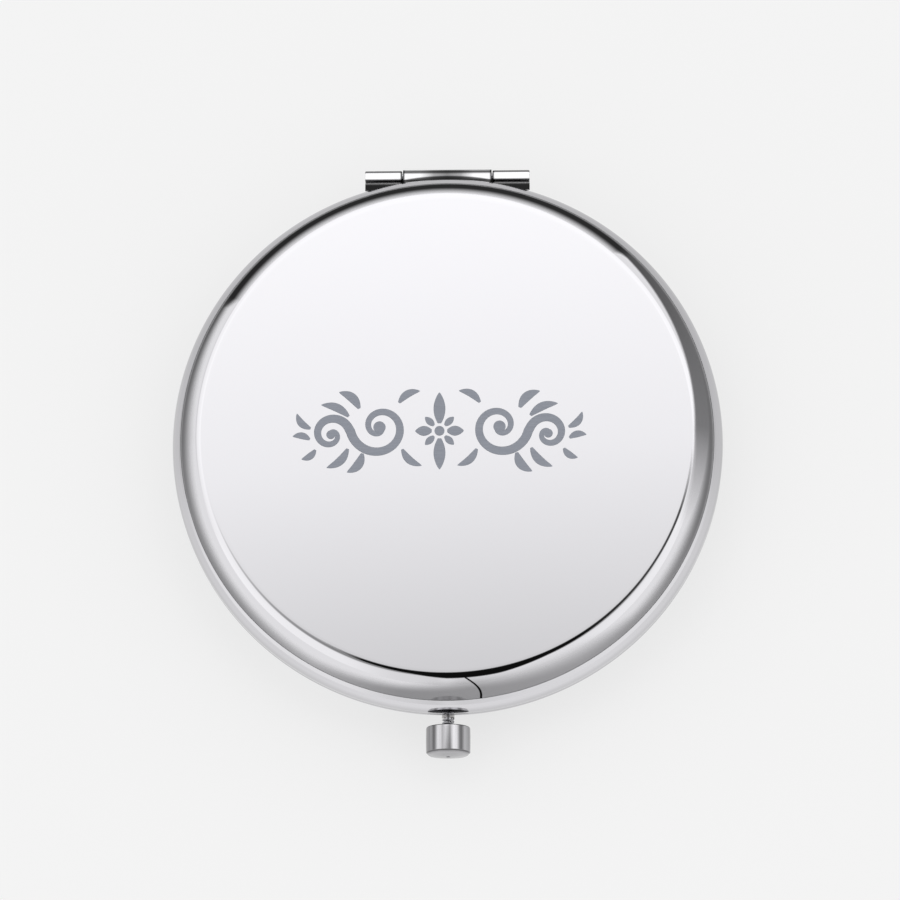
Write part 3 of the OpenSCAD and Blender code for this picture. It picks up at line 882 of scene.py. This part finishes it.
def cover_outline():
    outer = arc(corner_centre, CORNER_R, 0, CORNER_SLOPE, 28)
    outer += arc(shoulder_centre, shoulder_r, CORNER_SLOPE, crease_slope, 20)[1:]
    inner = arc(corner_centre, CORNER_R - COVER_T, 0, CORNER_SLOPE, 8)
    inner += arc(shoulder_centre, shoulder_r - COVER_T, CORNER_SLOPE, crease_slope, 8)[1:]
    return (
        [(0, 0), (FLAT_R / 2, 0), (FLAT_R - 0.4, 0)] + outer
        + [(SKIRT_R, SKIRT_H), (BORE_R, SKIRT_H)] + inner[::-1] + [(0, COVER_T)]
    )


print("the shoulder meets the crease at", round(math.degrees(crease_slope), 1), "degrees")

# %% Spin the two covers
ROUND_STEPS = 360
ETCH_SINK = 0.015

lid_outline = [(r, h - ETCH_SINK) for r, h in turned_over(cover_outline())]
lid_shell = turn("lid_shell", lid_outline, ROUND_STEPS)
base_shell = turn("base_shell", cover_outline(), ROUND_STEPS)
drill(base_shell, BUSHING_D / 2 + FIT, BUSHING_IN, BUSHING_FACE, "-Y", ON_STEM)
for piece, body, node in ((lid_shell, "lid", "lid_cover"), (base_shell, "base", "base_cover")):
    dress(piece, chrome_shell, body, node)

# %% [markdown]
# ## Rims
# The frame of each half is cast or turned in one ring: the bead that fingers feel outside, a
# flat land, and a thin lip over the edge of the glass. Notches for the hinge leaves, the latch
# and the rivets are milled afterwards, so here they are cut after the spinning.

# %% Outline of a rim
BEAD_OUT = CASE_R - CREASE_R
BEAD_RISE = HALF_H - BEAD_WALL - CREASE_H
bead_arc_r = (BEAD_OUT ** 2 + BEAD_RISE ** 2) / 2 / BEAD_OUT
bead_slope = math.asin(1 - BEAD_OUT / bead_arc_r)
LIP_BEVEL = 0.2


def rim_outline():
    bead_centre = (CASE_R - bead_arc_r, HALF_H - BEAD_WALL)
    bead = arc(bead_centre, bead_arc_r, bead_slope, math.pi / 2, 28)
    edge = arc((CASE_R - EDGE, LAND_H - EDGE), EDGE, math.pi / 2, math.pi, 6)
    lip = arc((LIP_R + LIP_BEVEL, LEAF_H - LIP_BEVEL), LIP_BEVEL, math.pi, 1.5 * math.pi, 6)
    return (
        [(LIP_R, LIP_H), (CREASE_R, LIP_H)] + bead + edge
        + [(LAND_R, LAND_H), (LAND_R, LEAF_H)] + lip + [(LIP_R, LIP_H)]
    )


# %% Spin the rims and mill them
LID_SLOT_OUT, BASE_SLOT_OUT = 30.11, 29.56


def rivet_spots(x):
    y = math.sqrt(RIVET_CIRCLE ** 2 - x ** 2)
    return [(-x, y), (x, y)]


def mill(rim, notches, rivet_x, slot_out, flip):
    """Cuts one rim. Heights are those of the half, turned over for the lid."""
    def level(h):
        return 2 * HALF_H - h if flip else h

    def pocket(x_from, x_to, y_from, y_to, low, high):
        ends = sorted((level(low), level(high)))
        combine(rim, block((x_from, y_from, ends[0]), (x_to, y_to, ends[1])), "DIFFERENCE")

    half = CENTRE_L / 2 + EDGE
    drill(rim, CENTRE_D / 2 + PLAY, -half, half, "X", ON_PIN)
    for x_from, x_to in notches:
        pocket(x_from, x_to, 0, CASE_R, LEAF_H, LEAF_H + HALF_H)
    half = TONGUE_W / 2 + PLAY
    pocket(-half, half, -slot_out, -SLOT_IN, LIP_H - 1, HALF_H)
    for x, y in rivet_spots(rivet_x):
        drill(rim, RIVET_D / 2 + FIT, HALF_H - 2, HALF_H + 2, "Z", (x, y, 0))


lid_rim = turn("lid_rim", turned_over(rim_outline()), ROUND_STEPS)
mill(lid_rim, [(-OUTER_IN, OUTER_IN)], LID_RIVET_X, LID_SLOT_OUT, True)
base_rim = turn("base_rim", rim_outline(), ROUND_STEPS)
outside = HINGE_L / 2 + EDGE
leg_notches = [(-outside, -CENTRE_L / 2), (CENTRE_L / 2, outside)]
mill(base_rim, leg_notches, BASE_RIVET_X, BASE_SLOT_OUT, False)
drill(base_rim, BUSHING_D / 2 + FIT, BUSHING_IN, CASE_R + 1, "-Y", ON_STEM)
for piece, body, node in ((lid_rim, "lid", "lid_frame"), (base_rim, "base", "base_frame")):
    dress(piece, chrome_rim, body, node)

# %% [markdown]
# ## Hinge
# The hinge is two small stamped leaves whose ends roll round one pin. The lid's leaf has the
# long middle knuckle, and the base's leaf is a U with a knuckle at each end. Flat stock becomes
# a leaf by stretching a box, its corners are rounded, and the knuckle is joined on.

# %% Knuckles, corners and rivet holes
LEAF_ROUND = 1.0
HEAD_SEAT = 0.28


def knuckle(name, diameter, start, length, chamfer):
    r, bore = diameter / 2, PIN_D / 2 + 2 * FIT
    outline = [(bore, 0), (r - chamfer, 0)]
    outline += [(r - chamfer + chamfer * math.sin(a), chamfer - chamfer * math.cos(a))
                for a in (math.pi / 8, math.pi / 4, 3 * math.pi / 8, math.pi / 2)]
    outline += [(q, length - t) for q, t in outline[:0:-1]]
    outline += [(bore, length), (bore, 0)]
    return turn(name, outline, 96, "X", (start, AXIS_Y, HALF_H))


def round_corners(piece, y_limit, radius):
    """Rounds the upright edges of a leaf that lie inside the case."""
    pick(piece)
    select_none(piece)
    for edge in piece.data.edges:
        a, b = (piece.data.vertices[i].co for i in edge.vertices)
        upright = abs(a.x - b.x) < FIT * MM and abs(a.y - b.y) < FIT * MM
        edge.select = upright and a.y < y_limit * MM
    bpy.ops.object.mode_set(mode="EDIT")
    bpy.ops.mesh.select_mode(type="EDGE")
    bpy.ops.mesh.bevel(offset=radius * MM, segments=8)
    bpy.ops.mesh.select_mode(type="VERT")
    leave_edit()


def drill_for_rivets(piece, rivet_x, side):
    """Seats for the heads, then holes, from mid height up (side 1) or down (side -1)."""
    for x, y in rivet_spots(rivet_x):
        for diameter, depth in ((RIVET_HEAD_D, HEAD_SEAT), (RIVET_D, 1)):
            ends = sorted((HALF_H, HALF_H + side * depth))
            drill(piece, diameter / 2 + FIT, *ends, "Z", (x, y, 0))


# %% The lid's leaf
LID_LEAF_IN = 27.6
LID_LEAF_TOP = 2 * HALF_H - LEAF_H
lid_leaf = block(
    (-CENTRE_L / 2, LID_LEAF_IN, LID_LEAF_TOP - LEAF_T), (CENTRE_L / 2, AXIS_Y, LID_LEAF_TOP)
)
lid_leaf.name = lid_leaf.data.name = "lid_leaf"
round_corners(lid_leaf, 28, LEAF_ROUND)
combine(lid_leaf, knuckle("tool", CENTRE_D, -CENTRE_L / 2, CENTRE_L, 0.06), "UNION")
drill(lid_leaf, PIN_D / 2 + 2 * FIT, -CENTRE_L, CENTRE_L, "X", ON_PIN)
drill_for_rivets(lid_leaf, LID_RIVET_X, 1)

# %% The base's leaf
BASE_LEAF_IN = 26.81
WEB_OUT = 30.5
base_leaf = block((-HINGE_L / 2, BASE_LEAF_IN, LEAF_H), (HINGE_L / 2, WEB_OUT, LEAF_H + LEAF_T))
base_leaf.name = base_leaf.data.name = "base_leaf"
pick(base_leaf)
bpy.ops.object.mode_set(mode="EDIT")
for x in (-OUTER_IN, OUTER_IN):
    bpy.ops.mesh.select_all(action="SELECT")
    bpy.ops.mesh.bisect(plane_co=(x * MM, 0, 0), plane_no=(1, 0, 0))
leave_edit()
select_none(base_leaf)
for face in base_leaf.data.polygons:
    face.select = face.normal.y > 0.9 and abs(face.center.x) > OUTER_IN * MM
bpy.ops.object.mode_set(mode="EDIT")
bpy.ops.mesh.select_mode(type="FACE")
leg = (0, (AXIS_Y - WEB_OUT) * MM, 0)
bpy.ops.mesh.extrude_region_move(TRANSFORM_OT_translate={"value": leg})
bpy.ops.mesh.select_mode(type="VERT")
leave_edit()
round_corners(base_leaf, 27, LEAF_ROUND)
for start in (-HINGE_L / 2, OUTER_IN):
    combine(base_leaf, knuckle("tool", OUTER_D, start, HINGE_L / 2 - OUTER_IN, EDGE), "UNION")
drill(base_leaf, PIN_D / 2 + FIT, -HINGE_L, HINGE_L, "X", ON_PIN)
drill_for_rivets(base_leaf, BASE_RIVET_X, -1)

# %% Finish the leaves
dress(lid_leaf, chrome_centre, "lid", "lid_hinge_leaf", 35)
dress(base_leaf, chrome_ends, "base", "base_hinge_leaf", 35)

# %% [markdown]
# ## Glasses
# The lid's glass is plain and the base's glass is pressed into a shallow dish, so that it
# magnifies. Both have ground, slightly rounded edges under the lip.

# %% The plain glass
GROUND = 0.15
GLASS_STEPS = 240


def glass_edge(lower, upper):
    """The ground edge between the glass's two faces, from the lower to the upper one."""
    low = arc((MIRROR_R - GROUND, lower + GROUND), GROUND, 0, math.pi / 2, 5)
    high = arc((MIRROR_R - GROUND, upper - GROUND), GROUND, math.pi / 2, math.pi, 5)
    return low + high


glass_low = LIP_H - GLASS_T
plain_outline = [(0, glass_low)] + glass_edge(glass_low, LIP_H) + [(0, LIP_H)]
lid_glass = turn("lid_glass", turned_over(plain_outline), GLASS_STEPS)

# %% The magnifying glass
dish_r = (MIRROR_R ** 2 + DISH_SAG ** 2) / 2 / DISH_SAG
dish_edge = math.asin((MIRROR_R - GROUND) / dish_r)
dish_low = LIP_H - DISH_SAG - GLASS_T
lower = arc((0, dish_low + dish_r), dish_r, 0, dish_edge, 24)
upper = [(r, h + GLASS_T) for r, h in lower[::-1]]
sides = [(MIRROR_R, lower[-1][1] + GROUND), (MIRROR_R, upper[0][1] - GROUND)]
base_glass = turn("base_glass", lower + sides + upper, GLASS_STEPS)

dress(lid_glass, mirror_glass, "lid", "lid_mirror")
dress(base_glass, mirror_glass, "base", "base_magnifying_mirror")

# %% [markdown]
# ## Foam pads
# A disc of open-cell foam pushes each glass against the lip. Its cut edge bulges a little where
# the glass squeezes it, so the outline of the edge is a shallow curve.

# %% Spin the foam pads
PAD_STEPS = 120


def pad_outline(low, high):
    middle, half = (low + high) / 2, (high - low) / 2
    bulge = [
        (CARD_R - 0.35 * (abs(t) ** 2.5), middle + half * t)
        for t in (-1, -0.9, -0.7, -0.4, 0, 0.4, 0.7, 0.9, 1)
    ]
    return [(0, low), (CARD_R / 2, low)] + bulge + [(CARD_R / 2, high), (0, high)]


lid_pad_top = LIP_H - GLASS_T - CARD_T
base_pad_top = lid_pad_top - DISH_SAG
lid_foam = turn("lid_foam", turned_over(pad_outline(COVER_T, lid_pad_top)), PAD_STEPS)
base_foam = turn("base_foam", pad_outline(COVER_T, base_pad_top), PAD_STEPS)
for piece, body, node in ((lid_foam, "lid", "lid_foam_pad"), (base_foam, "base", "base_foam_pad")):
    dress(piece, foam, body, node, 50)

# %% [markdown]
# ## Push button
# The cap is turned from bar: a slightly barrelled side for the fingertip, a bevel, a domed end
# with the small centre mark of the lathe, and a pocket in its back for the spring.

# %% Outline of the cap
barrel = []
for i in range(25):
    share = i / 24
    barrel.append((
        CAP_R - CAP_BULGE * (2 * share - 1) ** 2,
        CAP_EDGE + (CAP_L - CAP_BEVEL - CAP_EDGE) * share,
    ))
inner_r = CAP_R - CAP_BULGE - CAP_EDGE
inner_edge = [
    (inner_r + CAP_EDGE * math.sin(a), CAP_EDGE - CAP_EDGE * math.cos(a))
    for a in (0, math.pi / 8, math.pi / 4, 3 * math.pi / 8)
]
dome = []
for i in range(17):
    r = CAP_END_R + (MARK_R - CAP_END_R) * i / 16
    dome.append((r, CAP_L + CAP_DOME * (1 - (r / CAP_END_R) ** 2)))
tip = CAP_L + CAP_DOME
mark = [(MARK_R / 2, tip - 0.09), (0, tip - 0.12)]
pocket = [(0, POCKET_END - CAP_IN), (POCKET_R, POCKET_END - CAP_IN), (POCKET_R, 0)]
cap_outline = pocket + inner_edge + barrel + dome + mark
print("the cap's outline has", len(cap_outline), "points")

# %% Turn the cap
cap = turn("button_top", cap_outline, 160, "-Y", (0, -CAP_IN, STEM_Z))
dress(cap, chrome_button, "button", "button_cap", 20)
# The back, the pocket and the mark of the cap take the painted dark material.
cap.data.materials.append(painted_dark)
for face in cap.data.polygons:
    off_axis = math.hypot(face.center.x, face.center.z - STEM_Z * MM)
    inward = face.center.y > -(CAP_IN + CAP_EDGE / 2) * MM
    deep = face.center.y > -(POCKET_END + FIT) * MM
    in_pocket = off_axis < (POCKET_R + FIT) * MM and deep
    in_mark = off_axis < MARK_R * MM and not deep
    face.material_index = 1 if inward or in_pocket or in_mark else 0

# %% [markdown]
# ## Return spring
# A short spring of thin wire sits round the stem, between the bushing and the bottom of the
# cap's pocket. A circle the size of the wire is wound along the stem with a screw modifier.

# %% Wind the spring
SPRING_R = 0.64
WIRE_R = 0.1
SPRING_TURNS = 8.5
STEPS_A_TURN = 28
free_l = POCKET_END - BUSHING_FACE

deselect_all()
bpy.ops.mesh.primitive_circle_add(
    vertices=10, radius=WIRE_R * MM, location=(0, -(BUSHING_FACE + WIRE_R) * MM, STEM_Z * MM)
)
spring = name_new("wire_spring")
edit_all()
bpy.ops.transform.translate(value=(SPRING_R * MM, 0, 0))
leave_edit()
bpy.ops.object.modifier_add(type="SCREW")
winding = spring.modifiers[-1]
winding.axis = "Y"
winding.angle = 2 * math.pi * SPRING_TURNS
winding.screw_offset = -(free_l - 2 * WIRE_R) * MM
winding.steps = winding.render_steps = int(STEPS_A_TURN * SPRING_TURNS)
bpy.ops.object.modifier_apply(modifier=winding.name)
settle(spring)

# %% Close the spring's two ends
bpy.ops.object.mode_set(mode="EDIT")
bpy.ops.mesh.select_all(action="DESELECT")
bpy.ops.mesh.select_non_manifold()
bpy.ops.mesh.edge_face_add()
bpy.ops.mesh.select_all(action="SELECT")
bpy.ops.mesh.normals_make_consistent(inside=False)
leave_edit()
dress(spring, bright_steel, "base", "return_spring", 40)
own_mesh(spring)

# %% [markdown]
# ## Ornament on the lid
# The lid carries an etched scroll ornament: a rosette between two mirrored scrolls with leaves.
# Each stroke is a curve whose thickness swells and tapers like a pen stroke. The curves become
# a mesh and are pressed flat, so that they lie in the plate like an etching.

# %% How a stroke, a leaf and a dot are drawn
def volute(cx, cy, r_from, r_to, a_from, a_to, w_from, w_to, count=40):
    """A spiral stroke about a centre, as points (x, y, half width)."""
    points = []
    for i in range(count + 1):
        t = i / count
        a = math.radians(a_from + (a_to - a_from) * t)
        r = r_from + (r_to - r_from) * t
        points.append((cx + r * math.cos(a), cy + r * math.sin(a), w_from + (w_to - w_from) * t))
    return points


def leaf(x_from, y_from, x_to, y_to, bow, width, count=16):
    """A leaf from its foot to its tip, bowed to one side."""
    points = []
    for i in range(count + 1):
        t = i / count
        lean = bow * math.sin(math.pi * t)
        dx, dy = x_to - x_from, y_to - y_from
        length = math.hypot(dx, dy)
        points.append((
            x_from + dx * t - dy / length * lean, y_from + dy * t + dx / length * lean,
            width * math.sin(math.pi * min(1, t * 0.94 + 0.06)) ** 0.8 + 0.03,
        ))
    return points


def dot(x, y, radius, count=24):
    """A round dot: a short stroke as wide as a circle is at each place."""
    angles = [math.pi * (i + 0.2) / (count + 0.4) for i in range(count + 1)]
    return [(x - radius * math.cos(a), y, radius * math.sin(a)) for a in angles]


# %% Strokes of the ornament
# An S scroll is two spirals that meet between their centres and turn opposite ways.
BIG, SMALL = (7.4, 0.5), (13.4, -0.4)
BIG_R, SMALL_R = 3.6, 2.4
meet = math.degrees(math.atan2(SMALL[1] - BIG[1], SMALL[0] - BIG[0]))
scroll = volute(*BIG, 0.4, BIG_R, meet - 500, meet, 0.26, 0.58, 64)
scroll += volute(*SMALL, SMALL_R, 0.3, meet + 180, meet - 280, 0.58, 0.2, 52)[1:]
strokes = [
    scroll,
    dot(*BIG, 0.76),
    dot(*SMALL, 0.56),
    leaf(9.9, 2.9, 12.4, 5.0, 0.5, 0.55),
    leaf(11.2, 1.9, 14.6, 3.4, 0.45, 0.5),
    leaf(9.5, -2.8, 11.4, -5.2, -0.5, 0.55),
    leaf(11.3, -2.2, 13.9, -4.6, -0.5, 0.5),
    leaf(15.9, 0.4, 17.6, 2.3, -0.4, 0.42),
    leaf(16.0, -1.0, 18.1, -0.6, 0.3, 0.4),
    leaf(15.3, -2.3, 17.0, -3.5, -0.3, 0.4),
    leaf(5.0, 3.6, 2.4, 5.1, -0.45, 0.45),
    leaf(4.6, -2.3, 2.2, -4.4, 0.45, 0.45),
]
petals = [dot(0, 0, 0.62)]
for i in range(8):
    a = math.pi * i / 4
    length, width = ((4.9, 0.7), (2.5, 0.4), (3.0, 0.6), (2.5, 0.4))[(i + 2) % 4]
    petals.append(leaf(
        0.95 * math.cos(a), 0.95 * math.sin(a), length * math.cos(a), length * math.sin(a), 0, width
    ))
print(len(strokes) * 2 + len(petals), "strokes")

# %% Draw the ornament and press it flat
ETCH_H = 0.012
ORNAMENT_PLACE = (-0.8, 0.1)
ORNAMENT_SCALE = 0.95

curve = bpy.data.curves.new("scroll_ornament", "CURVE")
curve.dimensions = "3D"
curve.bevel_depth = 1.0 * MM
curve.bevel_resolution = 4
curve.use_fill_caps = True
halves = [[(side * x, y, w) for x, y, w in stroke] for side in (1, -1) for stroke in strokes]
for stroke in halves + petals:
    line = curve.splines.new("POLY")
    line.points.add(len(stroke) - 1)
    for point, (x, y, w) in zip(line.points, stroke):
        left, ahead = (place + ORNAMENT_SCALE * v for place, v in zip(ORNAMENT_PLACE, (x, y)))
        point.co = (left * MM, ahead * MM, 0, 1)
        point.radius = w * ORNAMENT_SCALE
ornament = bpy.data.objects.new("scroll_ornament", curve)
bpy.context.scene.collection.objects.link(ornament)
pick(ornament)
bpy.ops.object.convert(target="MESH")
ornament = bpy.context.object
edit_all()
bpy.ops.transform.resize(value=(1, 1, ETCH_H / 2), center_override=(0, 0, 0))
bpy.ops.transform.translate(value=(0, 0, (2 * HALF_H - ETCH_SINK + ETCH_H / 4) * MM))
bpy.ops.mesh.normals_make_consistent(inside=False)
leave_edit()
ornament.data.materials.append(etched_grey)
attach(ornament, "lid")
report(ornament)

# %% [markdown]
# ## Pieces kept from the construction model
# Rivets, pin, bushing, stem, latch and ring are small and already have their true shape. They
# keep their solids and only change their finish.

# %% Give the kept pieces their finish
KEPT = {
    "lid_mirror_card": backing_card, "base_mirror_card": backing_card,
    "lid_hinge_rivets": bright_steel, "base_hinge_rivets": bright_steel,
    "lid_strike_plate": bright_steel, "hinge_pin": bright_steel,
    "stem_bushing": bushing_nickel, "button_stem": bright_steel,
    "latch_tongue": bright_steel, "stem_retaining_ring": bright_steel,
}
for name, material in KEPT.items():
    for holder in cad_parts[name].material_slots:
        holder.material = material
print(len(KEPT), "solids keep their shape")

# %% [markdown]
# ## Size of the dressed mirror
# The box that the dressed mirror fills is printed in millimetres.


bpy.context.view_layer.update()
dressed_box = [[round(v / MM, 2) for v in corner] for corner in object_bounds()]
print("box of the dressed mirror in mm:", dressed_box)
